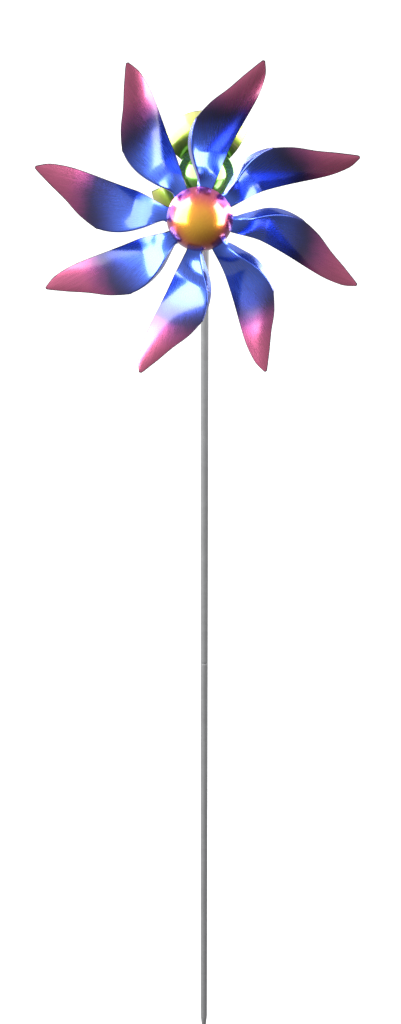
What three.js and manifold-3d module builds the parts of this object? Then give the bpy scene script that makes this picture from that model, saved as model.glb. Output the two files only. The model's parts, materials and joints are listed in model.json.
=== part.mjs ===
// Garden wind spinner: an eight-blade flower rotor and a two-leaf counter rotor on one fixed
// axle, carried by a two-section ground pole with a pointed end.
// Millimetres, +Z up. The origin is the tip of the ground spike, on the pole's axis.
// The flower faces -Y.

import * as THREE from 'three';
import { mergeVertices } from 'three/addons/utils/BufferGeometryUtils.js';
import Module from 'manifold-3d';

const wasm = await Module();
wasm.setup();

// ---------------------------------------------------------------- driving dimensions
const GAP = 0.3;                 // clearance between pieces that touch on the real object

const AXLE_HEIGHT = 1365;        // spike tip to axle
const POLE_RADIUS = 5;
const POLE_WALL = 1;
const POLE_JOINT = 690;          // height of the seam between the two pole sections
const SPIKE_LENGTH = 42;
const SPIKE_TIP_RADIUS = 0.8;
const SPIKE_PLUG = 8;            // solid length of the pole above the spike's taper
const JOINT_PIN_LENGTH = 110;
const PIN_TAPER = { length: 2, depth: 1 };

const AXLE_RADIUS = 3;
const NUT_RADIUS = 5.77;         // M6 nut across its corners
const NUT_HEIGHT = 4;
const WASHER_RADIUS = 6.5;
const WASHER_HEIGHT = 0.8;
const CAP_NUT_HEIGHT = 10;
const CAP_NUT_BORE = 7.5;
const CAP_NUT_DOME = [[0, 1], [4.8, 1], [4.8, 5], [4.2, 7.5], [2.6, 9.3], [0, CAP_NUT_HEIGHT]];
const AXLE_CHAMFER = { length: 1.5, depth: 0.8 };
const AXLE_FRONT_TIP = 2;        // axle showing in front of its end nut
const AXLE_IN_CAP = 6.5;         // axle standing inside the cap nut
const BUSH_RADIUS = 6;
const BUSH_FLANGE = { width: 3.5, thickness: 2 };
const FITTING_RADIUS = 8;
const FITTING_FRONT = -20;       // Y of the cross tube's two ends
const FITTING_REAR = 8;
const SOCKET_RADIUS = 7.5;
const SOCKET_DEPTH = 26;
const SOCKET_TOP = AXLE_HEIGHT - FITTING_RADIUS - 2;   // height where the pole's bore ends

const ROTOR_Y = -160;            // plane of the flower's dome rim
const ROTOR_RADIUS = 190;
const BLADE_COUNT = 8;
const BLADE_PHASE = 113.7;       // direction of the first blade's tip, in degrees
const BLADE_OFF = [0, 0, -0.3, 0, 0, 0, 0, 2.3];   // hand fitting: each blade's turn off its even place
const SHEET = 0.8;               // blade and leaf sheet thickness
const DOME_RADIUS = 37;
const DOME_HEIGHT = 26;
const DOME_WALL = 1;
const PLATE_RADIUS = 31;
const PLATE_THICKNESS = 1.6;
const CLAMP_RADIUS = 29;
const CLAMP_THICKNESS = 1.2;
const RIVET_RADIUS = 1.6;
const RIVET_HEAD_RADIUS = 3;
const RIVET_HEAD = 1.1;
const RIVET_HEAD_SLOPE = 0.9;    // how much smaller a rivet head's flat face is than its rim
const BLADE_RIVET_CIRCLE = 25;
const BLADE_RIVET_ANGLE = 9;     // from the blade's axis, in degrees

// Blade edges, as [radius, angle]: degrees from the blade's axis, counter-clockwise positive,
// seen from the front. Depths are measured behind the rotor plane. The clockwise edge dips to a
// trough and runs forward to the tip; the folded edge climbs to a ridge that leads to the tip.
const BLADE_ROOT = 19;
const BLADE_TAB = 32.5;          // radius where a blade's flat tab ends
const CW_ANGLE = [[19, -4], [40, -1.5], [80, -1.7], [145, -3.4], [175, -2.4], [190, -0.3]];
const FOLD_ANGLE = [[19, 20], [40, 21.5], [78, 27], [108, 24.5], [130, 17], [150, 9.3], [172, 3.9],
  [190, 0.3]];
const TAB_DEPTH = 1;             // depth of the blades' flat tabs
const TROUGH_RADIUS = 76;        // where a blade's clockwise edge lies deepest
const TROUGH_DEPTH = 18;
const RIDGE_START = 40;          // radii between which the folded edge climbs forward
const RIDGE_END = 64;
const RIDGE_DEPTH = -10;         // depth of the ridge at the trough's radius
const TIP_DEPTH = -17;
const TIP_EASE = 1.15;           // rounds the trough where it turns towards the tip
const FACE_BOW = 3.5;            // most forward bow of the face between its edges
const FLANGE_START = 33;         // radii between which the folded-back flange runs
const FLANGE_END = 118;
const FLANGE_WIDTH = 16;
const FLANGE_LIP = 0.8;          // width left where the flange has run out
const FLANGE_ANGLE = -73;        // direction of the flange from the rotor plane, backwards negative

const BALL_Y = 40.5;             // centre of the leaf rotor's ball
const BALL_RADIUS = 26.5;
const BALL_WALL = 1.2;
const LEAF_DIRECTIONS = [92, 245];   // where the two leaves point, in degrees
const LEAF_PLATE_RADIUS = 34.5;
const LEAF_PLATE_THICKNESS = 1.2;
const LEAF_ROOT = 28;
const LEAF_RADIUS = 76;
const LEAF_HALF_ANGLE = 45;      // half of the fan that one leaf covers at its rim, in degrees
const LEAF_ROOT_SPREAD = 1.4;    // how much wider that angle is at the leaf's root
const LEAF_BULGE = 13;           // how far a leaf bows forward
const LEAF_CUP = 0.45;           // share of that bow lost at the leaf's two sides
const LEAF_TURN_BACK = 9;        // how far its outer rim turns back
const LEAF_CORNER = 5;           // how much shorter the leaf is at its two corners
const LEAF_RIVET_CIRCLE = 31.5;
const LEAF_RIVET_ANGLE = 20;     // each leaf has two rivets, this far either side of its axis
const LEAF_TAB = 36;             // radius where a leaf's flat tab ends

// ---------------------------------------------------------------- materials
const finish = (color, roughness, metalness) =>
  new THREE.MeshStandardMaterial({ color, roughness, metalness, side: THREE.FrontSide });

const bladeLacquer = () => finish(0x3a4fc0, 0.25, 0.8);
const domeLacquer = () => finish(0xe8762c, 0.2, 0.8);
const leafLacquer = () => finish(0x8fa020, 0.28, 0.7);
const galvanisedSteel = () => finish(0xa9adaf, 0.42, 0.9);
const zincSteel = () => finish(0xb8bcc0, 0.35, 0.9);
const bushPlastic = () => finish(0x26282a, 0.5, 0.0);

// ---------------------------------------------------------------- helpers
const rad = THREE.MathUtils.degToRad;
const lerp = THREE.MathUtils.lerp;
const smoothstep = THREE.MathUtils.smoothstep;
const spinner = new THREE.Group();

/** Adds one named sub-part to a group. */
function place(group, name, geometry, material) {
  const mesh = new THREE.Mesh(geometry, material);
  mesh.name = name;
  group.add(mesh);
}

/** A smooth curve through [x, value] points, as a function of x. */
function curveThrough(points) {
  const slope = (i) => {
    const a = points[Math.max(i - 1, 0)];
    const b = points[Math.min(i + 1, points.length - 1)];
    return (b[1] - a[1]) / (b[0] - a[0]);
  };
  return (x) => {
    let i = 0;
    while (i < points.length - 2 && x > points[i + 1][0]) i += 1;
    const [x0, v0] = points[i];
    const [x1, v1] = points[i + 1];
    const h = x1 - x0;
    const t = (x - x0) / h;
    const t2 = t * t;
    const t3 = t2 * t;
    return (2 * t3 - 3 * t2 + 1) * v0 + (t3 - 2 * t2 + t) * h * slope(i)
      + (3 * t2 - 2 * t3) * v1 + (t3 - t2) * h * slope(i + 1);
  };
}

/** Turns a profile of [radius, height] points about the Z axis. */
function turned(profile, segments) {
  const points = profile.map(([r, z]) => new THREE.Vector2(r, z));
  return new THREE.LatheGeometry(points, segments).rotateX(Math.PI / 2);
}

/** The same about the Y axis, with height measured along +Y. */
const turnedAlongY = (profile, segments) => turned(profile, segments).rotateX(-Math.PI / 2);

/** A ring or tube profile that closes on itself. */
const ringProfile = (inner, outer, from, to) =>
  [[inner, from], [outer, from], [outer, to], [inner, to], [inner, from]];

function toSolid(geometry) {
  const bare = geometry.clone();
  bare.deleteAttribute('normal');
  bare.deleteAttribute('uv');
  const merged = mergeVertices(bare, 1e-4);
  return new wasm.Manifold(new wasm.Mesh({
    numProp: 3,
    vertProperties: new Float32Array(merged.attributes.position.array),
    triVerts: new Uint32Array(merged.index.array),
  }));
}

function fromSolid(solid) {
  const mesh = solid.getMesh();
  const geometry = new THREE.BufferGeometry();
  geometry.setAttribute('position', new THREE.BufferAttribute(new Float32Array(mesh.vertProperties), 3));
  geometry.setIndex(new THREE.BufferAttribute(new Uint32Array(mesh.triVerts), 1));
  return geometry;
}

/** Cuts tool geometries out of a base geometry. */
function cut(base, tools) {
  let solid = toSolid(base);
  for (const tool of tools) solid = solid.subtract(toSolid(tool));
  return fromSolid(solid);
}

/** A cylinder along Y with its axis at (x, z), for pins and drilled holes. */
function rodAlongY(radius, from, to, x, z, segments) {
  return new THREE.CylinderGeometry(radius, radius, to - from, segments).translate(x, (from + to) / 2, z);
}

/** Gives a grid of points, seen as rows of equal length, a thickness: one closed solid. */
function sheetSolid(grid, thickness) {
  const rows = grid.length;
  const cols = grid[0].length;
  const at = (i, j) => grid[Math.min(Math.max(i, 0), rows - 1)][Math.min(Math.max(j, 0), cols - 1)];
  const positions = [];
  const index = [];
  const half = thickness / 2;
  for (const side of [half, -half]) {
    for (let i = 0; i < rows; i += 1) {
      for (let j = 0; j < cols; j += 1) {
        const along = new THREE.Vector3().subVectors(at(i + 1, j), at(i - 1, j));
        const across = new THREE.Vector3().subVectors(at(i, j + 1), at(i, j - 1));
        const normal = along.cross(across).normalize();
        const point = grid[i][j].clone().addScaledVector(normal, side);
        positions.push(point.x, point.y, point.z);
      }
    }
  }
  const id = (layer, i, j) => (layer * rows + i) * cols + j;
  const quad = (a, b, c, d) => index.push(a, b, c, a, c, d);
  for (let i = 0; i < rows - 1; i += 1) {
    for (let j = 0; j < cols - 1; j += 1) {
      quad(id(0, i, j), id(0, i + 1, j), id(0, i + 1, j + 1), id(0, i, j + 1));
      quad(id(1, i, j), id(1, i, j + 1), id(1, i + 1, j + 1), id(1, i + 1, j));
    }
    quad(id(0, i, 0), id(1, i, 0), id(1, i + 1, 0), id(0, i + 1, 0));
    quad(id(0, i, cols - 1), id(0, i + 1, cols - 1), id(1, i + 1, cols - 1), id(1, i, cols - 1));
  }
  for (let j = 0; j < cols - 1; j += 1) {
    quad(id(0, 0, j), id(0, 0, j + 1), id(1, 0, j + 1), id(1, 0, j));
    quad(id(0, rows - 1, j), id(1, rows - 1, j), id(1, rows - 1, j + 1), id(0, rows - 1, j + 1));
  }
  const geometry = new THREE.BufferGeometry();
  geometry.setAttribute('position', new THREE.Float32BufferAttribute(positions, 3));
  geometry.setIndex(index);
  return geometry;
}

// A rotor is drawn with its axis on Y, seen from the front: x right, z up, y = depth behind.
// A piece drawn about direction +X is turned to its own direction about the axle.
const turnedTo = (geometry, degrees) => geometry.rotateY(-rad(degrees));

// ---------------------------------------------------------------- pole
function buildPole() {
  const inner = POLE_RADIUS - POLE_WALL;
  place(spinner, 'pole_lower', turned([
    [0, 0], [SPIKE_TIP_RADIUS, 0], [POLE_RADIUS, SPIKE_LENGTH], [POLE_RADIUS, POLE_JOINT - GAP],
    [inner, POLE_JOINT - GAP], [inner, SPIKE_LENGTH + SPIKE_PLUG], [0, SPIKE_LENGTH + SPIKE_PLUG],
  ], 20), galvanisedSteel());
  place(spinner, 'pole_upper', turned(ringProfile(inner, POLE_RADIUS, POLE_JOINT, SOCKET_TOP - GAP), 20),
    galvanisedSteel());
  const from = POLE_JOINT - JOINT_PIN_LENGTH / 2;
  const to = from + JOINT_PIN_LENGTH;
  const pinRadius = inner - GAP;
  const endRadius = pinRadius - PIN_TAPER.depth;
  place(spinner, 'pole_joint_pin', turned([
    [0, from], [endRadius, from], [pinRadius, from + PIN_TAPER.length],
    [pinRadius, to - PIN_TAPER.length], [endRadius, to], [0, to],
  ], 16), zincSteel());
}

/** The T-shaped fitting: a cross tube for the axle on a socket for the pole. */
function buildHeadFitting() {
  const socketFrom = SOCKET_TOP - SOCKET_DEPTH;
  const socket = turned([
    [0, socketFrom], [SOCKET_RADIUS, socketFrom], [SOCKET_RADIUS, AXLE_HEIGHT], [0, AXLE_HEIGHT],
  ], 24);
  const boreRadius = POLE_RADIUS + GAP;
  const poleBore = turned([
    [0, socketFrom - 1], [boreRadius, socketFrom - 1], [boreRadius, SOCKET_TOP], [0, SOCKET_TOP],
  ], 20);
  const crossTube = rodAlongY(FITTING_RADIUS, FITTING_FRONT, FITTING_REAR, 0, AXLE_HEIGHT, 24);
  const axleBore = rodAlongY(AXLE_RADIUS + GAP, FITTING_FRONT - 1, FITTING_REAR + 1, 0, AXLE_HEIGHT, 16);
  const body = toSolid(socket).add(toSolid(crossTube));
  const bored = body.subtract(toSolid(poleBore)).subtract(toSolid(axleBore));
  place(spinner, 'head_fitting', fromSolid(bored), galvanisedSteel());
}

// ---------------------------------------------------------------- axle, nuts and washers
const axleLine = new THREE.Group();
axleLine.position.z = AXLE_HEIGHT;
spinner.add(axleLine);

function addNut(name, from) {
  const hexagon = new THREE.CylinderGeometry(NUT_RADIUS, NUT_RADIUS, NUT_HEIGHT, 6)
    .translate(0, from + NUT_HEIGHT / 2, 0);
  const bore = rodAlongY(AXLE_RADIUS + GAP, from - 1, from + NUT_HEIGHT + 1, 0, 0, 16);
  place(axleLine, name, cut(hexagon, [bore]), zincSteel());
  return from + NUT_HEIGHT;
}

function addWasher(name, from) {
  const profile = ringProfile(AXLE_RADIUS + GAP, WASHER_RADIUS, from, from + WASHER_HEIGHT);
  place(axleLine, name, turnedAlongY(profile, 18), zincSteel());
  return from + WASHER_HEIGHT;
}

/** A domed nut that closes the axle's rear end. */
function addCapNut(name, from) {
  const hexagon = new THREE.CylinderGeometry(NUT_RADIUS, NUT_RADIUS, NUT_HEIGHT, 6)
    .translate(0, from + NUT_HEIGHT / 2, 0);
  const dome = turnedAlongY(CAP_NUT_DOME.map(([r, y]) => [r, from + y]), 16);
  const bore = rodAlongY(AXLE_RADIUS + GAP, from - 1, from + CAP_NUT_BORE, 0, 0, 16);
  const solid = toSolid(hexagon).add(toSolid(dome)).subtract(toSolid(bore));
  place(axleLine, name, fromSolid(solid), zincSteel());
}

// where each bush starts and ends along Y
const FRONT_BUSH = { from: ROTOR_Y - 6, to: ROTOR_Y + 14 };
const REAR_BUSH = {
  from: FITTING_REAR + NUT_HEIGHT + WASHER_HEIGHT + 3 * GAP,
  to: BALL_Y + BALL_RADIUS + 2 * GAP,
};

function buildAxle() {
  const front = FRONT_BUSH.from - WASHER_HEIGHT - NUT_HEIGHT - 3 * GAP - AXLE_FRONT_TIP;
  const rear = REAR_BUSH.to + WASHER_HEIGHT + 2 * GAP + AXLE_IN_CAP;
  const endRadius = AXLE_RADIUS - AXLE_CHAMFER.depth;
  place(axleLine, 'axle', turnedAlongY([
    [0, front], [endRadius, front], [AXLE_RADIUS, front + AXLE_CHAMFER.length],
    [AXLE_RADIUS, rear - AXLE_CHAMFER.length], [endRadius, rear], [0, rear],
  ], 16), zincSteel());
  addNut('fitting_nut_front', FITTING_FRONT - GAP - NUT_HEIGHT);
  const nutEnd = addNut('fitting_nut_rear', FITTING_REAR + GAP);
  addWasher('rear_thrust_washer', nutEnd + GAP);
  const stop = addWasher('front_thrust_washer', FRONT_BUSH.to + GAP);
  addNut('front_stop_nut', stop + GAP);
  addWasher('front_end_washer', FRONT_BUSH.from - GAP - WASHER_HEIGHT);
  addNut('front_end_nut', FRONT_BUSH.from - 2 * GAP - WASHER_HEIGHT - NUT_HEIGHT);
  const washerEnd = addWasher('rear_end_washer', REAR_BUSH.to + GAP);
  addCapNut('rear_cap_nut', washerEnd + GAP);
}

// ---------------------------------------------------------------- shared rotor pieces
/** A round plate with a hole for the bush and holes for the rivets. */
function plate(radius, from, thickness, rivets) {
  const disc = turnedAlongY(ringProfile(BUSH_RADIUS + GAP, radius, from, from + thickness), 24);
  const to = from + thickness;
  return cut(disc, rivets.map(({ circle, angle }) => rivetHole(circle, angle, from - 1, to + 1)));
}

function rivetHole(circle, degrees, from, to) {
  const x = circle * Math.cos(rad(degrees));
  const z = circle * Math.sin(rad(degrees));
  return rodAlongY(RIVET_RADIUS + 2 * GAP, from, to, x, z, 8);
}

/** A rivet whose two heads close on a stack of sheets between two Y positions. */
function rivet(circle, degrees, stackFrom, stackTo) {
  const front = stackFrom - GAP;
  const rear = stackTo + GAP;
  const faceRadius = RIVET_HEAD_RADIUS - RIVET_HEAD_SLOPE;
  const shape = turnedAlongY([
    [0, front - RIVET_HEAD], [faceRadius, front - RIVET_HEAD], [RIVET_HEAD_RADIUS, front],
    [RIVET_RADIUS, front], [RIVET_RADIUS, rear], [RIVET_HEAD_RADIUS, rear],
    [faceRadius, rear + RIVET_HEAD], [0, rear + RIVET_HEAD],
  ], 8);
  return shape.translate(circle * Math.cos(rad(degrees)), 0, circle * Math.sin(rad(degrees)));
}

// ---------------------------------------------------------------- flower rotor
const cwAngle = curveThrough(CW_ANGLE);
const foldAngle = curveThrough(FOLD_ANGLE);

/** Share of the way from the trough to the tip: negative nearer the axle. */
const towardsTip = (radius) => (radius - TROUGH_RADIUS) / (ROTOR_RADIUS - TROUGH_RADIUS);

function cwDepth(radius) {
  if (radius < TROUGH_RADIUS) {
    return lerp(TAB_DEPTH, TROUGH_DEPTH, smoothstep(radius, BLADE_TAB, TROUGH_RADIUS));
  }
  return lerp(TROUGH_DEPTH, TIP_DEPTH, towardsTip(radius) ** TIP_EASE);
}

function foldDepth(radius) {
  const ridge = lerp(RIDGE_DEPTH, TIP_DEPTH, towardsTip(radius));
  return lerp(TAB_DEPTH, ridge, smoothstep(radius, RIDGE_START, RIDGE_END));
}

function faceBow(radius) {
  return FACE_BOW * Math.sin(Math.PI * Math.max(towardsTip(radius), 0));
}

/** One row of a blade at a radius: across the face to the fold, then down the flange. */
function bladeRow(radius, faceSteps, flangeSteps) {
  const from = rad(cwAngle(radius));
  const to = rad(foldAngle(radius));
  const near = cwDepth(radius);
  const far = foldDepth(radius);
  const bow = faceBow(radius);
  const row = [];
  for (let j = 0; j <= faceSteps; j += 1) {
    const t = j / faceSteps;
    const angle = lerp(from, to, t);
    const depth = lerp(near, far, t) - 4 * bow * t * (1 - t);
    row.push(new THREE.Vector3(radius * Math.cos(angle), depth, radius * Math.sin(angle)));
  }
  const run = THREE.MathUtils.clamp((radius - FLANGE_START) / (FLANGE_END - FLANGE_START), 0, 1);
  const width = FLANGE_LIP + FLANGE_WIDTH * Math.sin(Math.PI * run ** 0.85) ** 1.2;
  const folded = smoothstep(run, 0, 0.1) * (1 - smoothstep(run, 0.93, 1));
  const faceSlope = Math.atan2(near - far, radius * (to - from));
  const direction = lerp(faceSlope, rad(FLANGE_ANGLE), folded);
  for (let j = 1; j <= flangeSteps; j += 1) {
    const q = (width * j) / flangeSteps;
    const out = q * Math.cos(direction);
    row.push(new THREE.Vector3(
      radius * Math.cos(to) - out * Math.sin(to),
      far - q * Math.sin(direction),
      radius * Math.sin(to) + out * Math.cos(to),
    ));
  }
  return row;
}

function bladeGeometry() {
  const stations = 18;
  const grid = [bladeRow(BLADE_ROOT, 3, 2)];
  for (let i = 0; i <= stations; i += 1) {
    grid.push(bladeRow(lerp(BLADE_TAB, ROTOR_RADIUS, i / stations), 3, 2));
  }
  return cut(sheetSolid(grid, SHEET), [rivetHole(BLADE_RIVET_CIRCLE, BLADE_RIVET_ANGLE, -2, 4)]);
}

function buildFlowerRotor() {
  const rotor = new THREE.Group();
  rotor.position.set(0, ROTOR_Y, AXLE_HEIGHT);
  spinner.add(rotor);

  const sphere = (DOME_RADIUS ** 2 + DOME_HEIGHT ** 2) / (2 * DOME_HEIGHT);
  const rimAngle = Math.asin(DOME_RADIUS / sphere);
  const cap = (radius, steps) => Array.from({ length: steps + 1 }, (_, i) => {
    const a = (rimAngle * i) / steps;
    return [radius * Math.sin(a), sphere - DOME_HEIGHT - radius * Math.cos(a)];
  });
  const outer = cap(sphere, 6);
  const innerCap = cap(sphere - DOME_WALL, 4).reverse();
  place(rotor, 'front_hub_dome', turnedAlongY([...outer, ...innerCap], 24), domeLacquer());

  const plateFrom = TAB_DEPTH + SHEET / 2 + GAP;
  const clampFrom = TAB_DEPTH - SHEET / 2 - GAP - CLAMP_THICKNESS;
  const rivetAngles = Array.from({ length: BLADE_COUNT }, (_, k) =>
    BLADE_PHASE + BLADE_OFF[k] + BLADE_RIVET_ANGLE - (k * 360) / BLADE_COUNT);
  const rivets = rivetAngles.map((angle) => ({ circle: BLADE_RIVET_CIRCLE, angle }));
  place(rotor, 'front_hub_plate', plate(PLATE_RADIUS, plateFrom, PLATE_THICKNESS, rivets), zincSteel());
  place(rotor, 'front_clamp_disc', plate(CLAMP_RADIUS, clampFrom, CLAMP_THICKNESS, rivets), zincSteel());

  const bushFrom = FRONT_BUSH.from - ROTOR_Y;
  const bushTo = FRONT_BUSH.to - ROTOR_Y;
  const flangeFrom = plateFrom + PLATE_THICKNESS + GAP;
  const flangeTo = flangeFrom + BUSH_FLANGE.thickness;
  const flangeRadius = BUSH_RADIUS + BUSH_FLANGE.width;
  place(rotor, 'front_bush', turnedAlongY([
    [AXLE_RADIUS + GAP, bushFrom], [BUSH_RADIUS, bushFrom], [BUSH_RADIUS, flangeFrom],
    [flangeRadius, flangeFrom], [flangeRadius, flangeTo], [BUSH_RADIUS, flangeTo],
    [BUSH_RADIUS, bushTo], [AXLE_RADIUS + GAP, bushTo], [AXLE_RADIUS + GAP, bushFrom],
  ], 24), bushPlastic());

  for (let k = 0; k < BLADE_COUNT; k += 1) {
    const direction = rivetAngles[k] - BLADE_RIVET_ANGLE;
    place(rotor, `front_blade_${k + 1}`, turnedTo(bladeGeometry(), direction), bladeLacquer());
    place(rotor, `front_rivet_${k + 1}`,
      rivet(BLADE_RIVET_CIRCLE, rivetAngles[k], clampFrom, plateFrom + PLATE_THICKNESS), zincSteel());
  }
}

// ---------------------------------------------------------------- leaf rotor
/** One leaf: a rounded fan that bows forward and turns back at its rim. */
function leafGeometry() {
  const rows = 8;
  const cols = 10;
  const grid = [];
  for (let i = 0; i <= rows; i += 1) {
    const row = [];
    for (let j = 0; j <= cols; j += 1) {
      const side = lerp(-1, 1, j / cols);
      const rim = LEAF_RADIUS - LEAF_CORNER * Math.abs(side) ** 3;
      const radius = i === 0 ? LEAF_ROOT : lerp(LEAF_TAB, rim, (i - 1) / (rows - 1));
      const spread = lerp(LEAF_ROOT_SPREAD, 1, ((radius - LEAF_ROOT) / (LEAF_RADIUS - LEAF_ROOT)) ** 0.6);
      const angle = rad(LEAF_HALF_ANGLE * side * spread);
      const u = Math.max(0, (radius - LEAF_TAB) / (LEAF_RADIUS - LEAF_TAB));
      const bow = LEAF_BULGE * Math.sin(Math.PI * Math.min(u, 1) ** 0.9) * (1 - LEAF_CUP * side * side);
      const turnBack = LEAF_TURN_BACK * u ** 2.5;
      row.push(new THREE.Vector3(radius * Math.cos(angle), turnBack - bow, radius * Math.sin(angle)));
    }
    grid.push(row);
  }
  const holes = [-1, 1].map((s) => rivetHole(LEAF_RIVET_CIRCLE, s * LEAF_RIVET_ANGLE, -2, 2));
  return cut(sheetSolid(grid, SHEET), holes);
}

function halfShell(side) {
  const steps = 6;
  const rim = side * (LEAF_PLATE_THICKNESS / 2 + GAP);
  const arc = (radius) => {
    const start = Math.asin((BUSH_RADIUS + GAP) / radius);
    const end = Math.acos(Math.abs(rim) / radius);
    return Array.from({ length: steps + 1 }, (_, i) => {
      const a = lerp(start, end, i / steps);
      return [radius * Math.sin(a), side * radius * Math.cos(a)];
    });
  };
  const outer = arc(BALL_RADIUS);
  const inner = arc(BALL_RADIUS - BALL_WALL).reverse();
  const loop = [...outer, ...inner, outer[0]];
  return turnedAlongY(side < 0 ? loop : loop.reverse(), 20);
}

function buildLeafRotor() {
  const rotor = new THREE.Group();
  rotor.position.set(0, BALL_Y, AXLE_HEIGHT);
  spinner.add(rotor);

  place(rotor, 'ball_front_shell', halfShell(-1), leafLacquer());
  place(rotor, 'ball_rear_shell', halfShell(1), leafLacquer());
  const bush = ringProfile(AXLE_RADIUS + GAP, BUSH_RADIUS, REAR_BUSH.from - BALL_Y, REAR_BUSH.to - BALL_Y);
  place(rotor, 'rear_bush', turnedAlongY(bush, 20), bushPlastic());

  const plateFrom = -LEAF_PLATE_THICKNESS / 2;
  const plateTo = LEAF_PLATE_THICKNESS / 2;
  const leafMid = plateTo + GAP + SHEET / 2;
  const rivets = LEAF_DIRECTIONS.flatMap((d) =>
    [-1, 1].map((s) => ({ circle: LEAF_RIVET_CIRCLE, angle: d + s * LEAF_RIVET_ANGLE })));
  const disc = plate(LEAF_PLATE_RADIUS, plateFrom, LEAF_PLATE_THICKNESS, rivets);
  place(rotor, 'leaf_plate', disc, leafLacquer());
  LEAF_DIRECTIONS.forEach((direction, k) => {
    const leaf = turnedTo(leafGeometry(), direction).translate(0, leafMid, 0);
    place(rotor, `rear_leaf_${k + 1}`, leaf, leafLacquer());
  });
  rivets.forEach(({ circle, angle }, k) => {
    place(rotor, `leaf_rivet_${k + 1}`, rivet(circle, angle, plateFrom, leafMid + SHEET / 2), zincSteel());
  });
}

buildPole();
buildHeadFitting();
buildAxle();
buildFlowerRotor();
buildLeafRotor();

export default spinner;
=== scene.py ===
import json
import math

import bpy
import numpy as np
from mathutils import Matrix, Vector


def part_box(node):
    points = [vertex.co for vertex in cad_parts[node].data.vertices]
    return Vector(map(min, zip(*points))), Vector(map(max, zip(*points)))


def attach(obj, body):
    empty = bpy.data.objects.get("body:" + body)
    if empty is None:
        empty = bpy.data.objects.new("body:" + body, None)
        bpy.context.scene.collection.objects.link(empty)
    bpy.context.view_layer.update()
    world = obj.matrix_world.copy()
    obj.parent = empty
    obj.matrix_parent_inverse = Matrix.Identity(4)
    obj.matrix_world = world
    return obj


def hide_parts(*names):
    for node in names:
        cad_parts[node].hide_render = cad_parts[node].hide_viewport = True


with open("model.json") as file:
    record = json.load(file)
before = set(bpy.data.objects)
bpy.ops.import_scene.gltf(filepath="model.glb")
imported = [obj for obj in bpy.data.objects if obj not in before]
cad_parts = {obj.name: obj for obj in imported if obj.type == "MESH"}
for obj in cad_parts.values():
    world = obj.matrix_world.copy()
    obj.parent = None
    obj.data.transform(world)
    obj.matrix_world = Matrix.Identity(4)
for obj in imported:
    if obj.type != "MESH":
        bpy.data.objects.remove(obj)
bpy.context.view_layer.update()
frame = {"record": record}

# The looks of a garden wind spinner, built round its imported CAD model. Metres, +Z up, front -Y.
# Shapes repeat the CAD model's driving dimensions at a finer resolution.

MM = 0.001
JOINT_POINT = {joint["name"]: Vector(joint["pos_m"]) for joint in frame["record"]["behaviour"]["joints"]}
FLOWER = JOINT_POINT["flower_spin"]          # centre of the flower, in the plane of its dome's rim
BALL = JOINT_POINT["leaf_spin"]              # centre of the leaf rotor's ball
AXLE_Z = FLOWER.z

# ---------------------------------------------------------------- driving dimensions, millimetres
# Angles are in degrees, counter-clockwise seen from the front. Depths run backwards from the plane
# of the dome's rim. A blade's two edges are lists of (radius, angle from the blade's axis).
SHEET = 0.8                                  # thickness of blades and leaves
BLADE_COUNT = 8
BLADE_PHASE = 113.7                          # direction of the first blade's tip
BLADE_OFF = [0, 0, -0.3, 0, 0, 0, 0, 2.3]    # each blade's turn off its even place
BLADE_ROOT = 19
BLADE_TIP = 190
BLADE_TAB = 32.5                             # radius where a blade's flat tab ends
BLADE_ROWS = 96
CW_ANGLE = [(19, -4), (40, -1.5), (80, -1.7), (145, -3.4), (175, -2.4), (190, -0.3)]
FOLD_ANGLE = [(19, 20), (40, 21.5), (78, 27), (108, 24.5), (130, 17), (150, 9.3), (172, 3.9), (190, 0.3)]
TAB_DEPTH = 1
TROUGH_RADIUS = 76                           # where the clockwise edge lies deepest
TROUGH_DEPTH = 18
RIDGE_START = 40                             # radii between which the folded edge climbs forward
RIDGE_END = 64
RIDGE_DEPTH = -10                            # depth of the folded edge at the trough's radius
TIP_DEPTH = -17
TIP_EASE = 1.15                              # rounds the trough where it turns towards the tip
FACE_BOW = 3.5                               # most forward bow of the face between its edges
FLANGE_START = 33                            # radii between which the folded-back flange runs
FLANGE_END = 118
FLANGE_WIDTH = 16
FLANGE_LIP = 0.8
FLANGE_ANGLE = -73
FLANGE_FOLDED = (0.1, 0.93)                  # shares of its run between which it is fully folded
FOLD_SOFTNESS = 1.5                          # length of the rounded fold either side of its line

DOME_RADIUS = 37
DOME_HEIGHT = 26
DOME_WALL = 1

BALL_RADIUS = 26.5
BALL_WALL = 1.2
BUSH_HOLE = 6.3
PLATE_HALF = 0.6                             # half the leaf plate's thickness
SEAM_GAP = 0.3

LEAF_DIRECTIONS = [92, 245]
LEAF_ROOT = 28
LEAF_TAB = 36
LEAF_RADIUS = 76
LEAF_HALF_ANGLE = 45
LEAF_ROOT_SPREAD = 1.4
LEAF_BULGE = 13                              # how far a leaf bows forward
LEAF_CUP = 0.45                              # share of that bow lost at the leaf's two sides
LEAF_TURN_BACK = 9                           # how far its outer rim turns back
LEAF_CORNER = 5                              # how much shorter the leaf is at its two corners
LEAF_MID = PLATE_HALF + SEAM_GAP + SHEET / 2

NUT_FLAT = 5                                 # M6 nut: half its width across flats
NUT_FACE = 4.7
NUT_SLOPE = 0.577
AXLE_RADIUS = 3
THREAD_ROOT = 2.55
SHANK_RADIUS = 2.72
WASHER_RADIUS = 6.5
BUSH_RADIUS = 6
BUSH_BORE = AXLE_RADIUS + SEAM_GAP
BUSH_EDGE = 0.4                              # chamfer of a bush's ends
FLANGE_DISC = 2                              # thickness and radius of the front bush's flange
FLANGE_DISC_RADIUS = 9.5
CAP_NUT_DOME = 4.85
HUB_PLATE_RADIUS = 31
CLAMP_RADIUS = 29
LEAF_PLATE_RADIUS = 34.5
RIVET_RADIUS = 1.6
RIVET_HEAD_RADIUS = 3.0
RIVET_HEAD = 1.1
RIVET_DOME = 1.2                             # angle of the domed head's arc, in radians

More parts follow.
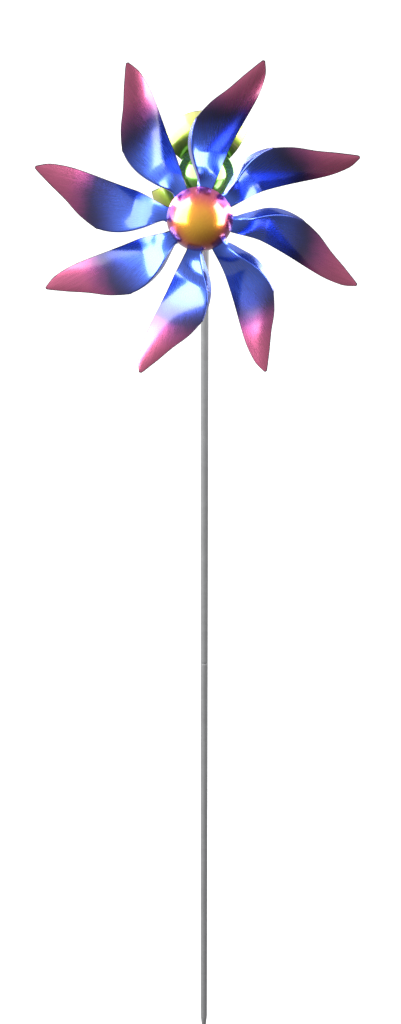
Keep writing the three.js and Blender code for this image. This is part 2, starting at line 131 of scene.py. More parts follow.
POLE_RADIUS = 5
SPIKE_LENGTH = 42
SPIKE_TIP = 0.8
PIN_RADIUS = 3.7                             # joint pin between the two pole sections
PIN_END_RADIUS = 2.7
FITTING_RADIUS = 8
SOCKET_RADIUS = 7.5

# The view: camera place from the flower's centre in metres, tilt below level and turn in degrees.
CAMERA_PLACE = (0.0664, -1.7482, 0.4919)
CAMERA_TILT = 26.07
CAMERA_TURN = 2.15
CAMERA_LENS = 56.25
CAMERA_SENSOR = 36


# ---------------------------------------------------------------- curves and meshes
def curve_through(points):
    """A smooth curve through (x, value) points, as a function of x."""
    last = len(points) - 1

    def slope(i):
        a = points[max(i - 1, 0)]
        b = points[min(i + 1, last)]
        return (b[1] - a[1]) / (b[0] - a[0])

    def value(x):
        i = 0
        while i < last - 1 and x > points[i + 1][0]:
            i += 1
        (x0, v0), (x1, v1) = points[i], points[i + 1]
        h = x1 - x0
        t = (x - x0) / h
        t2, t3 = t * t, t ** 3
        return ((2 * t3 - 3 * t2 + 1) * v0 + (t3 - 2 * t2 + t) * h * slope(i)
                + (3 * t2 - 2 * t3) * v1 + (t3 - t2) * h * slope(i + 1))

    return value


def lerp(a, b, t):
    return a + (b - a) * t


def smoothstep(x, low, high):
    t = min(max((x - low) / (high - low), 0), 1)
    return t * t * (3 - 2 * t)


def new_piece(name, vertices, faces, body, nodes, slot, material, sharp=35):
    """A mesh object from millimetre vertices, riding on a body and standing for CAD nodes."""
    mesh = bpy.data.meshes.new(name)
    mesh.from_pydata([tuple(c * MM for c in v) for v in vertices], [], faces)
    mesh.validate()
    mesh.shade_smooth()
    mesh.set_sharp_from_angle(angle=math.radians(sharp))
    piece = bpy.data.objects.new(name, mesh)
    bpy.context.scene.collection.objects.link(piece)
    mesh.materials.append(material)
    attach(piece, body)
    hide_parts(*nodes)
    return piece


def turned(profile, segments, centre=(0, 0, 0), along_y=True):
    """Vertices and faces of a (radius, height) profile turned about Y, or about Z.
    A radius or height may be a function of the angle, as on a hexagon."""
    rings, vertices, faces = [], [], []
    for r, h in profile:
        count = 1 if r == 0 else segments
        rings.append((len(vertices), count))
        for k in range(count):
            a = 2 * math.pi * k / segments
            radius = r(a) if callable(r) else r
            height = h(a) if callable(h) else h
            x, side = radius * math.cos(a), radius * math.sin(a)
            local = (x, height, side) if along_y else (x, -side, height)
            vertices.append(tuple(p + c for p, c in zip(local, centre)))
    for (a0, na), (b0, nb) in zip(rings, rings[1:]):
        for k in range(segments):
            n = (k + 1) % segments
            if na == 1 and nb > 1:
                faces.append((a0, b0 + k, b0 + n))
            elif nb == 1 and na > 1:
                faces.append((a0 + k, b0, a0 + n))
            elif na > 1:
                faces.append((a0 + k, b0 + k, b0 + n, a0 + n))
    return vertices, faces


def closed(profile):
    """Joins a ring profile's last row back to its first."""
    return list(profile) + [profile[0]]


def sheet(grid, thickness, edge=0.35):
    """Vertices and faces of a sheet of even thickness with a rounded rim, from a grid of its middle."""
    grid = np.asarray(grid, float)
    rows, cols = grid.shape[:2]
    along = np.gradient(grid, axis=0)
    across = np.gradient(grid, axis=1)
    normal = np.cross(along, across)
    normal /= np.linalg.norm(normal, axis=2, keepdims=True)
    flat = grid.reshape(-1, 3)
    step = normal.reshape(-1, 3) * thickness / 2
    ring = ([(i, 0) for i in range(rows)] + [(rows - 1, j) for j in range(1, cols)]
            + [(i, cols - 1) for i in range(rows - 2, -1, -1)] + [(0, j) for j in range(cols - 2, 0, -1)])
    rim = []
    for i, j in ring:
        inner = grid[min(max(i, 1), rows - 2), min(max(j, 1), cols - 2)]
        out = grid[i, j] - inner
        rim.append(grid[i, j] + out / (np.linalg.norm(out) + 1e-9) * edge * thickness)
    vertices = np.vstack([flat + step, flat - step, np.array(rim)])
    size = rows * cols
    faces = []
    for i in range(rows - 1):
        for j in range(cols - 1):
            a, b = i * cols + j, i * cols + j + 1
            c, d = a + cols, b + cols
            faces.append((a, c, d, b))
            faces.append((a + size, b + size, d + size, c + size))
    for k in range(len(ring)):
        n = (k + 1) % len(ring)
        top = [ring[m][0] * cols + ring[m][1] for m in (k, n)]
        mid = [2 * size + k, 2 * size + n]
        faces.append((top[0], mid[0], mid[1], top[1]))
        faces.append((mid[0], top[0] + size, top[1] + size, mid[1]))
    return [tuple(v) for v in vertices], faces


def about_axle(points, degrees, centre):
    """Turns rotor points (x outwards, y depth, z counter-clockwise) to a direction about the axle."""
    a = math.radians(degrees)
    p = np.asarray(points, float)
    x = p[..., 0] * math.cos(a) - p[..., 2] * math.sin(a)
    z = p[..., 0] * math.sin(a) + p[..., 2] * math.cos(a)
    moved = np.stack([x, p[..., 1], z], axis=-1)
    return moved + np.array(centre) / MM


# ---------------------------------------------------------------- shader nodes
def add_node(tree, kind, inputs=None, **settings):
    """Adds a node, sets its settings, and sets or links its inputs by name or number."""
    made = tree.nodes.new(kind)
    for key, value in settings.items():
        setattr(made, key, value)
    for key, value in (inputs or {}).items():
        if isinstance(value, bpy.types.NodeSocket):
            tree.links.new(value, made.inputs[key])
        else:
            made.inputs[key].default_value = value
    return made


def math_node(tree, operation, a, b=0.0, clamp=False):
    return add_node(tree, "ShaderNodeMath", {0: a, 1: b}, operation=operation, use_clamp=clamp).outputs[0]


def map_range(tree, value, low, high, to_low=0.0, to_high=1.0):
    inputs = {"Value": value, "From Min": low, "From Max": high, "To Min": to_low, "To Max": to_high}
    return add_node(tree, "ShaderNodeMapRange", inputs).outputs["Result"]


def ramp(tree, value, stops, smooth=True):
    """A colour ramp through (position, linear colour) stops."""
    made = add_node(tree, "ShaderNodeValToRGB", {"Fac": value})
    elements = made.color_ramp.elements
    made.color_ramp.interpolation = "B_SPLINE" if smooth else "LINEAR"
    for k, (position, colour) in enumerate(stops):
        element = elements[k] if k < 2 else elements.new(position)
        element.position = position
        element.color = (*colour, 1)
    return made.outputs["Color"]


def mix(tree, factor, a, b, blend="MIX"):
    made = add_node(tree, "ShaderNodeMix", data_type="RGBA", blend_type=blend)
    for index, value in ((0, factor), (6, a), (7, b)):
        if isinstance(value, bpy.types.NodeSocket):
            tree.links.new(value, made.inputs[index])
        elif index == 0:
            made.inputs[index].default_value = value
        else:
            made.inputs[index].default_value = (*value, 1)
    return made.outputs[2]


def noise_value(tree, vector, scale, detail=4.0, roughness=0.5):
    inputs = {"Vector": vector, "Scale": scale, "Detail": detail, "Roughness": roughness}
    return add_node(tree, "ShaderNodeTexNoise", inputs).outputs["Fac"]


def new_material(name, **uniform):
    """A material, its tree, its shader and the piece's own coordinates, which move with the piece."""
    material = bpy.data.materials.new(name)
    material.use_nodes = True
    tree = material.node_tree
    shader = tree.nodes["Principled BSDF"]
    for key, value in uniform.items():
        shader.inputs[key.replace("_", " ")].default_value = value
    place = add_node(tree, "ShaderNodeTexCoord").outputs["Object"]
    return material, tree, shader, place


def axle_distance(tree, place, centre):
    """Distance from the axle, in millimetres, and the position measured from a rotor's centre."""
    inputs = {0: place, 1: tuple(centre)}
    local = add_node(tree, "ShaderNodeVectorMath", inputs, operation="SUBTRACT").outputs[0]
    flat = add_node(tree, "ShaderNodeVectorMath", {0: local, 1: (1, 0, 1)}, operation="MULTIPLY").outputs[0]
    length = add_node(tree, "ShaderNodeVectorMath", {0: flat}, operation="LENGTH").outputs["Value"]
    return math_node(tree, "DIVIDE", length, MM), local


def bump(tree, shader, height, strength, distance):
    inputs = {"Height": height, "Strength": strength, "Distance": distance}
    made = add_node(tree, "ShaderNodeBump", inputs)
    tree.links.new(made.outputs["Normal"], shader.inputs["Normal"])


def lacquer(name, centre, reach, stops, edge_shade_colour, roughness, edges=True):
    """Transparent coloured lacquer over brushed sheet metal, its colour running out from the axle; with
    edges, a painted shade darkens its cut edges.
    """
    material, tree, shader, place = new_material(
        name, Metallic=1.0, Coat_Weight=1.0, Coat_Roughness=0.12, Coat_IOR=1.6)
    distance, local = axle_distance(tree, place, centre)
    mottle = noise_value(tree, place, 45.0, 3.0)
    shifted = math_node(tree, "ADD", distance, map_range(tree, mottle, 0.3, 0.7, -3.0, 3.0))
    colour = ramp(tree, map_range(tree, shifted, reach[0], reach[1]), stops)
    axes = add_node(tree, "ShaderNodeSeparateXYZ", {0: local}).outputs
    turn = math_node(tree, "ARCTAN2", axes[2], axes[0])
    polar = {0: math_node(tree, "MULTIPLY", distance, 0.05), 1: math_node(tree, "MULTIPLY", turn, 60.0)}
    grain = add_node(tree, "ShaderNodeCombineXYZ", polar).outputs[0]
    brushed = noise_value(tree, grain, 1.0, 6.0, 0.6)
    fine = noise_value(tree, place, 900.0, 2.0)
    shade = map_range(tree, brushed, 0.3, 0.7, 0.95, 1.05)
    colour = mix(tree, 1.0, colour, add_node(
        tree, "ShaderNodeCombineColor", {0: shade, 1: shade, 2: shade}).outputs[0], "MULTIPLY")
    # Painted shade: the colour darkens to a near-black band along the cut edges and over the rim faces,
    # standing in for the dark edge-on line of the sheet; a noise varies the band's width.
    if edges:
        rim = add_node(tree, "ShaderNodeAttribute", attribute_name="edge_mm").outputs["Fac"]
        shade_width_noise = map_range(tree, noise_value(tree, place, 260.0, 3.0), 0.35, 0.65, 0.5, 1.1)
        edge_shade_mask = map_range(tree, math_node(tree, "DIVIDE", rim, shade_width_noise), 0.5, 1.3, 1.0, 0.0)
        colour = mix(tree, edge_shade_mask, colour, edge_shade_colour)
    tree.links.new(colour, shader.inputs["Base Color"])
    gloss = map_range(tree, brushed, 0.3, 0.7, roughness - 0.04, roughness + 0.05)
    tree.links.new(gloss, shader.inputs["Roughness"])
    height = math_node(tree, "ADD", math_node(tree, "MULTIPLY", brushed, 0.4), fine)
    bump(tree, shader, height, 0.025, 0.0002)
    return material


def steel(name, colour, roughness, grain, spangle):
    """Bare or plated steel: drawing lines along the piece, a faint crystal pattern and small stains."""
    material, tree, shader, place = new_material(name, Metallic=1.0)
    lines = noise_value(tree, add_node(
        tree, "ShaderNodeVectorMath", {0: place, 1: grain}, operation="MULTIPLY").outputs[0], 1.0, 5.0, 0.6)
    inputs = {"Vector": place, "Scale": spangle}
    cells = add_node(tree, "ShaderNodeTexVoronoi", inputs).outputs["Color"]
    crystal = add_node(tree, "ShaderNodeSeparateColor", {0: cells}).outputs[0]
    stain = noise_value(tree, place, 30.0, 5.0, 0.6)
    tone = math_node(tree, "ADD", map_range(tree, lines, 0.3, 0.7, -0.05, 0.05),
                     map_range(tree, crystal, 0.0, 1.0, -0.03, 0.03))
    tone = math_node(tree, "ADD", tone, map_range(tree, stain, 0.35, 0.7, 1.03, 0.9))
    grey = add_node(tree, "ShaderNodeCombineColor", {0: tone, 1: tone, 2: tone}).outputs[0]
    tree.links.new(mix(tree, 1.0, grey, colour, "MULTIPLY"), shader.inputs["Base Color"])
    rough = math_node(tree, "ADD", map_range(tree, lines, 0.3, 0.7, roughness - 0.05, roughness + 0.05),
                      map_range(tree, stain, 0.4, 0.7, 0.0, 0.08))
    tree.links.new(rough, shader.inputs["Roughness"])
    bump(tree, shader, lines, 0.12, 0.0001)
    return material


def moulded_plastic(name):
    """Black moulded plastic with a fine matt texture."""
    material, tree, shader, place = new_material(name, Specular_IOR_Level=0.5)
    grain = noise_value(tree, place, 1400.0, 3.0)
    dust = noise_value(tree, place, 120.0, 4.0)
    tree.links.new(mix(tree, map_range(tree, dust, 0.45, 0.75), (0.012, 0.012, 0.014), (0.03, 0.03, 0.03)),
                   shader.inputs["Base Color"])
    tree.links.new(map_range(tree, grain, 0.3, 0.7, 0.42, 0.58), shader.inputs["Roughness"])
    bump(tree, shader, grain, 0.3, 0.0001)
    return material


BLADE_STOPS = [(0.0, (0.05, 0.14, 0.78)), (0.34, (0.05, 0.12, 0.66)), (0.44, (0.03, 0.05, 0.34)),
               (0.52, (0.015, 0.015, 0.10)), (0.58, (0.05, 0.02, 0.12)), (0.66, (0.34, 0.06, 0.22)),
               (0.76, (0.56, 0.10, 0.24)), (1.0, (0.66, 0.13, 0.25))]
DOME_STOPS = [(0.0, (1.0, 0.52, 0.02)), (0.45, (0.95, 0.40, 0.02)), (0.68, (0.82, 0.17, 0.05)),
              (0.86, (0.60, 0.06, 0.16)), (1.0, (0.36, 0.04, 0.22))]
LEAF_STOPS = [(0.0, (0.02, 0.08, 0.01)), (0.4, (0.08, 0.18, 0.01)), (0.7, (0.26, 0.33, 0.03)),
              (1.0, (0.62, 0.60, 0.20))]
BALL_STOPS = [(0.0, (0.08, 0.24, 0.01)), (0.6, (0.06, 0.20, 0.01)), (1.0, (0.12, 0.30, 0.03))]

# The fourth colour of each lacquer is the near-black of its painted edge shade.
blade_lacquer = lacquer("blade_lacquer", FLOWER, (45, 185), BLADE_STOPS, (0.02, 0.015, 0.03), 0.27)
dome_lacquer = lacquer("dome_lacquer", FLOWER, (0, 37), DOME_STOPS, (0.1, 0.02, 0.06), 0.24, edges=False)
leaf_lacquer = lacquer("leaf_lacquer", BALL, (30, 76), LEAF_STOPS, (0.02, 0.05, 0.01), 0.38)
ball_lacquer = lacquer("ball_lacquer", BALL, (0, 27), BALL_STOPS, (0.02, 0.05, 0.01), 0.28, edges=False)
cast_zinc = steel("cast_zinc", (0.52, 0.53, 0.55), 0.42, (300, 300, 300), 900.0)
pole_steel = steel("pole_steel", (0.66, 0.67, 0.68), 0.30, (500, 500, 8), 160.0)
fastener_zinc = steel("fastener_zinc", (0.62, 0.64, 0.67), 0.26, (300, 60, 300), 400.0)
bush_plastic = moulded_plastic("bush_plastic")


# ---------------------------------------------------------------- flower
cw_angle, fold_angle = curve_through(CW_ANGLE), curve_through(FOLD_ANGLE)


def towards_tip(radius):
    """Share of the way from the trough to the tip: negative nearer the axle."""
    return (radius - TROUGH_RADIUS) / (BLADE_TIP - TROUGH_RADIUS)


def cw_depth(radius):
    if radius < TROUGH_RADIUS:
        return lerp(TAB_DEPTH, TROUGH_DEPTH, smoothstep(radius, BLADE_TAB, TROUGH_RADIUS))
    return lerp(TROUGH_DEPTH, TIP_DEPTH, towards_tip(radius) ** TIP_EASE)


def fold_depth(radius):
    ridge = lerp(RIDGE_DEPTH, TIP_DEPTH, towards_tip(radius))
    return lerp(TAB_DEPTH, ridge, smoothstep(radius, RIDGE_START, RIDGE_END))


def face_bow(radius):
    return FACE_BOW * math.sin(math.pi * max(towards_tip(radius), 0))


def face_point(radius, t):
    """A point of a blade's face drawn about +X: t runs from its clockwise edge to its fold."""
    angle = math.radians(lerp(cw_angle(radius), fold_angle(radius), t))
    depth = lerp(cw_depth(radius), fold_depth(radius), t) - 4 * face_bow(radius) * t * (1 - t)
    return np.array([radius * math.cos(angle), depth, radius * math.sin(angle)])


def blade_row(radius, face_steps=18, fold_steps=5, flange_steps=5):
    """One row of a blade: over its face, round the fold and down the flange."""
    low, high = math.radians(cw_angle(radius)), math.radians(fold_angle(radius))
    run = min(max((radius - FLANGE_START) / (FLANGE_END - FLANGE_START), 0), 1)
    width = FLANGE_LIP + FLANGE_WIDTH * max(math.sin(math.pi * run ** 0.85), 0) ** 1.2
    folded = smoothstep(run, 0, FLANGE_FOLDED[0]) * (1 - smoothstep(run, FLANGE_FOLDED[1], 1))
    slope = math.atan2(cw_depth(radius) - fold_depth(radius), radius * (high - low))
    direction = lerp(slope, math.radians(FLANGE_ANGLE), folded)
    across = math.cos(direction)
    down = np.array([-across * math.sin(high), -math.sin(direction), across * math.cos(high)])
    corner = face_point(radius, 1)
    face_width = np.linalg.norm(corner - face_point(radius, 0))
    reach = min(FOLD_SOFTNESS, 0.4 * width)
    stop = 1 - reach / face_width
    row = [face_point(radius, stop * j / face_steps) for j in range(face_steps + 1)]
    start, end = row[-1], corner + down * reach
    for j in range(1, fold_steps + 1):
        t = j / fold_steps
        row.append((1 - t) ** 2 * start + 2 * t * (1 - t) * corner + t * t * end)
    row.extend(corner + down * lerp(reach, width, j / flange_steps) for j in range(1, flange_steps + 1))
    return row


def edge_distances(grid):
    """Distance of every grid point from the nearest long edge or the outer end, in millimetres."""
    across = np.linalg.norm(np.diff(grid, axis=1), axis=2)
    from_start = np.hstack([np.zeros((len(grid), 1)), np.cumsum(across, axis=1)])
    to_end = from_start[:, -1:] - from_start
    along = np.linalg.norm(np.diff(grid, axis=0), axis=2)
    to_tip = np.vstack([np.cumsum(along[::-1], axis=0)[::-1], np.zeros((1, grid.shape[1]))])
    return np.minimum(np.minimum(from_start, to_end), to_tip)


def sheet_piece(name, grid, body, node, slot, material):
    """A sheet piece with its distance to the cut edge kept for the material's painted edge shade."""
    vertices, faces = sheet(grid, SHEET)
    piece = new_piece(name, vertices, faces, body, [node], slot, material, sharp=50)
    distance = edge_distances(grid).reshape(-1)
    # The rim faces count as distance zero, so they take the full painted edge shade.
    rim = np.zeros(len(vertices) - 2 * len(distance))
    values = np.concatenate([distance, distance, rim]).astype(np.float32)
    attribute = piece.data.attributes.new("edge_mm", "FLOAT", "POINT")
    attribute.data.foreach_set("value", values)
    return piece


blade_radii = [lerp(BLADE_ROOT, BLADE_TIP, i / BLADE_ROWS) for i in range(BLADE_ROWS + 1)]
blade_grid = np.array([blade_row(radius) for radius in blade_radii])
for k in range(BLADE_COUNT):
    direction = BLADE_PHASE + BLADE_OFF[k] - 360 * k / BLADE_COUNT
    sheet_piece(f"flower_blade_{k + 1}", about_axle(blade_grid, direction, FLOWER), "flower_rotor",
                f"front_blade_{k + 1}", "blade_lacquer", blade_lacquer)

sphere = (DOME_RADIUS ** 2 + DOME_HEIGHT ** 2) / (2 * DOME_HEIGHT)
rim_angle = math.asin(DOME_RADIUS / sphere)


def dome_arc(radius, steps):
    return [(radius * math.sin(rim_angle * i / steps),
             sphere - DOME_HEIGHT - radius * math.cos(rim_angle * i / steps)) for i in range(steps + 1)]


flower_centre = tuple(c / MM for c in FLOWER)
outer, inner = dome_arc(sphere, 40), dome_arc(sphere - DOME_WALL, 30)[::-1]
lip = [(DOME_RADIUS + 0.1, 0.15), (DOME_RADIUS - 0.35, 0.4), (DOME_RADIUS - 0.85, 0.2)]
hub_dome = new_piece("hub_dome", *turned(outer + lip + inner, 128, flower_centre), "flower_rotor",
                     ["front_hub_dome"], "dome_lacquer", dome_lacquer, sharp=60)

# ---------------------------------------------------------------- leaf rotor
ball_centre = tuple(c / MM for c in BALL)


def shell(side):
    """Half of the ball, open at the bush hole and at the leaf plate."""
    rim = PLATE_HALF + SEAM_GAP

    def arc(radius, steps):
        start, end = math.asin(BUSH_HOLE / radius), math.acos(rim / radius)
        angles = [lerp(start, end, i / steps) for i in range(steps + 1)]
        return [(radius * math.sin(a), side * radius * math.cos(a)) for a in angles]

    profile = arc(BALL_RADIUS, 28) + arc(BALL_RADIUS - BALL_WALL, 20)[::-1]
    return turned(closed(profile), 96, ball_centre)


new_piece("ball_front", *shell(-1), "leaf_rotor", ["ball_front_shell"], "leaf_lacquer", ball_lacquer)
new_piece("ball_rear", *shell(1), "leaf_rotor", ["ball_rear_shell"], "leaf_lacquer", ball_lacquer)


def leaf_point(row_share, side):
    """A point of a leaf drawn about +X: row_share runs outwards, side across from -1 to 1."""
    rim = LEAF_RADIUS - LEAF_CORNER * abs(side) ** 3
    radius = lerp(LEAF_ROOT, rim, row_share)
    spread = lerp(LEAF_ROOT_SPREAD, 1, ((radius - LEAF_ROOT) / (LEAF_RADIUS - LEAF_ROOT)) ** 0.6)
    angle = math.radians(LEAF_HALF_ANGLE * side * spread)
    u = max(0, (radius - LEAF_TAB) / (LEAF_RADIUS - LEAF_TAB))
    bow = LEAF_BULGE * math.sin(math.pi * min(u, 1) ** 0.9) * (1 - LEAF_CUP * side * side)
    depth = LEAF_TURN_BACK * u ** 2.5 - bow + LEAF_MID
    return np.array([radius * math.cos(angle), depth, radius * math.sin(angle)])


leaf_grid = np.array([[leaf_point(i / 50, lerp(-1, 1, j / 60)) for j in range(61)] for i in range(51)])
rear_leaves = []
for k, direction in enumerate(LEAF_DIRECTIONS):
    grid = about_axle(leaf_grid, direction, BALL)
    rear_leaves.append(sheet_piece(f"rear_leaf_sheet_{k + 1}", grid, "leaf_rotor", f"rear_leaf_{k + 1}",
                                   "leaf_lacquer", leaf_lacquer))

# ---------------------------------------------------------------- pole
pole_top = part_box("pole_upper")[1][2] / MM
pole_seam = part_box("pole_upper")[0][2] / MM
lower_profile = [(0, 0), (0.5, 0.1), (SPIKE_TIP, 0.6), (POLE_RADIUS - 0.1, SPIKE_LENGTH - 1),
                 (POLE_RADIUS, SPIKE_LENGTH + 0.6), (POLE_RADIUS, SPIKE_LENGTH + 2),
                 (POLE_RADIUS, pole_seam - 3), (POLE_RADIUS, pole_seam - 1),
                 (POLE_RADIUS - 0.35, pole_seam - 0.3), (0, pole_seam - 0.3)]
new_piece("pole_lower_tube", *turned(lower_profile, 64, along_y=False), "stand", ["pole_lower"],
          "pole_steel", pole_steel)
upper_profile = [(0, pole_seam), (POLE_RADIUS - 0.35, pole_seam), (POLE_RADIUS, pole_seam + 0.7),
                 (POLE_RADIUS, pole_seam + 3), (POLE_RADIUS, pole_top), (0, pole_top)]
new_piece("pole_upper_tube", *turned(upper_profile, 64, along_y=False), "stand", ["pole_upper"],
          "pole_steel", pole_steel)

# ---------------------------------------------------------------- fitting, axle and fasteners
def reach(node):
    """A node's centre and the two ends of its Y extent, in millimetres."""
    low, high = (np.array(corner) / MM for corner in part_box(node))
    return (low[0] + high[0]) / 2, (low[2] + high[2]) / 2, low[1], high[1]


def ring(node, name, hole, radius, body, slot, material, edge=0.2):
    """A washer, disc or plate with softened edges."""
    x, z, start, end = reach(node)
    profile = [(hole, end - edge), (hole + edge, end), (radius - edge, end), (radius, end - edge),
               (radius, start + edge), (radius - edge, start), (hole + edge, start), (hole, start + edge)]
    new_piece(name, *turned(closed(profile), 72, (x, 0, z)), body, [node], slot, material)


def hexagon(angle):
    """Radius of a nut's side at an angle about the axle; its corners point up and down."""
    return NUT_FLAT / math.cos((angle - math.pi / 2) % (math.pi / 3) - math.pi / 6)


def nut_end(face, inward):
    """One end of a nut, from its bore outwards: thread lead-in, flat face and chamfered corners."""
    return [(THREAD_ROOT, face + 0.5 * inward), (AXLE_RADIUS + 0.3, face), (NUT_FACE, face),
            (hexagon, lambda a: face + inward * (hexagon(a) - NUT_FACE) * NUT_SLOPE)]


def add_nut(node, name):
    x, z, start, end = reach(node)
    profile = closed(nut_end(start, 1) + nut_end(end, -1)[::-1])
    new_piece(name, *turned(profile, 72, (x, 0, z)), "stand", [node], "fastener_zinc", fastener_zinc)


def add_cap_nut(node, name):
    x, z, start, end = reach(node)
    shoulder = start + 4
    dome = [(CAP_NUT_DOME * math.cos(a), shoulder + 0.7 + (end - shoulder - 0.7) * math.sin(a))
            for a in (math.pi / 2 * i / 12 for i in range(12))]
    profile = nut_end(start, 1) + nut_end(shoulder, -1)[:1:-1] + [(CAP_NUT_DOME, shoulder)]
    profile += dome + [(0, end)]
    bore = [(0, end - 2.5), (THREAD_ROOT, end - 2.5)]
    new_piece(name, *turned(bore + profile, 72, (x, 0, z)), "stand", [node], "fastener_zinc", fastener_zinc)


def add_rivet(node, name, body):
    """A blind rivet: a domed head with the sunk end of its mandrel, and an upset tail."""
    x, z, start, end = reach(node)
    head = [(RIVET_HEAD_RADIUS * math.sin(a) / math.sin(RIVET_DOME),
             start + RIVET_HEAD * (1 - math.cos(a)) / (1 - math.cos(RIVET_DOME)))
            for a in (RIVET_DOME * i / 8 for i in range(3, 9))]
    tail = [(RIVET_HEAD_RADIUS, end - RIVET_HEAD), (2.8, end - 0.5), (2.2, end - 0.1), (1.0, end)]
    profile = [(0, start + 0.55), (0.8, start + 0.5), (0.85, start + 0.12)] + head
    profile += [(RIVET_RADIUS, start + RIVET_HEAD), (RIVET_RADIUS, end - RIVET_HEAD)] + tail + [(0, end)]
    new_piece(name, *turned(profile, 28, (x, 0, z)), body, [node], "fastener_zinc", fastener_zinc)


for node, name in (("fitting_nut_front", "nut_fitting_front"), ("fitting_nut_rear", "nut_fitting_rear"),
                   ("front_stop_nut", "nut_front_stop"), ("front_end_nut", "nut_front_end")):
    add_nut(node, name)
add_cap_nut("rear_cap_nut", "nut_rear_cap")
for place in ("rear_thrust", "front_thrust", "front_end", "rear_end"):
    ring(f"{place}_washer", f"washer_{place}", BUSH_BORE, WASHER_RADIUS, "stand",
         "fastener_zinc", fastener_zinc)
for k in range(BLADE_COUNT):
    add_rivet(f"front_rivet_{k + 1}", f"blade_rivet_{k + 1}", "flower_rotor")
for k in range(2 * len(LEAF_DIRECTIONS)):
    add_rivet(f"leaf_rivet_{k + 1}", f"rear_rivet_{k + 1}", "leaf_rotor")
ring("front_hub_plate", "hub_plate", BUSH_HOLE, HUB_PLATE_RADIUS, "flower_rotor", "fastener_zinc",
     fastener_zinc, 0.35)
ring("front_clamp_disc", "clamp_disc", BUSH_HOLE, CLAMP_RADIUS, "flower_rotor", "fastener_zinc",
     fastener_zinc, 0.3)
ring("leaf_plate", "rear_plate", BUSH_HOLE, LEAF_PLATE_RADIUS, "leaf_rotor", "leaf_lacquer",
     ball_lacquer, 0.3)

_, _, bush_start, bush_end = reach("front_bush")
flange = reach("front_hub_plate")[3] + SEAM_GAP
flange_rim = flange + FLANGE_DISC
front_bush = [(BUSH_BORE, bush_start + BUSH_EDGE), (BUSH_BORE + BUSH_EDGE, bush_start),
              (BUSH_RADIUS - BUSH_EDGE, bush_start), (BUSH_RADIUS, bush_start + BUSH_EDGE),
              (BUSH_RADIUS, flange), (FLANGE_DISC_RADIUS - 0.3, flange), (FLANGE_DISC_RADIUS, flange + 0.3),
              (FLANGE_DISC_RADIUS, flange_rim - 0.4), (FLANGE_DISC_RADIUS - 0.4, flange_rim),
              (BUSH_RADIUS + 0.5, flange_rim), (BUSH_RADIUS, flange_rim + 0.5),
              (BUSH_RADIUS, bush_end - BUSH_EDGE), (BUSH_RADIUS - BUSH_EDGE, bush_end),
              (BUSH_BORE + BUSH_EDGE, bush_end), (BUSH_BORE, bush_end - BUSH_EDGE)]
new_piece("bush_front", *turned(closed(front_bush), 64, (0, 0, AXLE_Z / MM)), "flower_rotor",
          ["front_bush"], "bush_plastic", bush_plastic)
ring("rear_bush", "bush_rear", BUSH_BORE, BUSH_RADIUS, "leaf_rotor", "bush_plastic", bush_plastic, 0.4)

_, _, axle_start, axle_end = reach("axle")
THREADED = [(axle_start, reach("front_stop_nut")[3] + 6), (reach("fitting_nut_front")[2] - 5, axle_end)]


def axle_radius(along, angle):
    """The axle's radius: a 1 mm pitch thread where its nuts run, a plain shank between."""
    depth = 0.0
    for start, end in THREADED:
        fade = smoothstep(along, start, start + 1.5) * (1 - smoothstep(along, end - 1.5, end))
        depth = max(depth, fade)
    phase = (along - angle / (2 * math.pi)) % 1.0
    crest = THREAD_ROOT + (AXLE_RADIUS - THREAD_ROOT) * min(1.0, 2.4 * min(phase, 1 - phase))
    end_slope = min(along - axle_start, axle_end - along)
    return min(lerp(SHANK_RADIUS, crest, depth), 2.2 + end_slope)


rows = int((axle_end - axle_start) * 4)
stations = [lerp(axle_start, axle_end, i / rows) for i in range(rows + 1)]
profile = [(lambda a, y=y: axle_radius(y, a), y) for y in stations]
rod = turned([(0, axle_start)] + profile + [(0, axle_end)], 28, (0, 0, AXLE_Z / MM))
new_piece("axle_rod", *rod, "stand", ["axle"], "fastener_zinc", fastener_zinc, sharp=80)

pin_low, pin_high = (corner[2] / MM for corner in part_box("pole_joint_pin"))
pin = [(0, pin_low), (PIN_END_RADIUS, pin_low), (PIN_RADIUS, pin_low + 2), (PIN_RADIUS, pin_high - 2),
       (PIN_END_RADIUS, pin_high), (0, pin_high)]
new_piece("joint_pin", *turned(pin, 48, along_y=False), "stand", ["pole_joint_pin"], "fastener_zinc",
          fastener_zinc)


def cast_fitting():
    """The T-shaped fitting as one casting: two tubes fused by a fine remesh, its corners filleted."""
    _, _, front_end, rear_end = reach("head_fitting")
    socket_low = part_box("head_fitting")[0][2] / MM
    cross = [(0, front_end), (FITTING_RADIUS - 0.6, front_end), (FITTING_RADIUS, front_end + 0.6),
             (FITTING_RADIUS, rear_end - 0.6), (FITTING_RADIUS - 0.6, rear_end), (0, rear_end)]
    socket = [(0, socket_low), (SOCKET_RADIUS - 0.5, socket_low), (SOCKET_RADIUS, socket_low + 0.6),
              (SOCKET_RADIUS, socket_low + 5),
              (7.1, socket_low + 6.5), (7.1, AXLE_Z / MM), (0, AXLE_Z / MM)]
    cross_vertices, cross_faces = turned(cross, 64, (0, 0, AXLE_Z / MM))
    socket_vertices, socket_faces = turned(socket, 64, along_y=False)
    offset = len(cross_vertices)
    faces = cross_faces + [tuple(i + offset for i in face) for face in socket_faces]
    rough = new_piece("head_casting", cross_vertices + socket_vertices, faces, "stand", ["head_fitting"],
                      "pole_steel", cast_zinc)
    fuse = rough.modifiers.new("fuse", "REMESH")
    fuse.mode = "VOXEL"
    fuse.voxel_size = 0.5 * MM
    fuse.use_smooth_shade = True
    soften = rough.modifiers.new("soften", "SMOOTH")
    soften.iterations = 8
    bpy.context.view_layer.update()
    evaluated = rough.evaluated_get(bpy.context.evaluated_depsgraph_get())
    fused = bpy.data.meshes.new_from_object(evaluated)
    rough.modifiers.clear()
    rough.data = fused


cast_fitting()

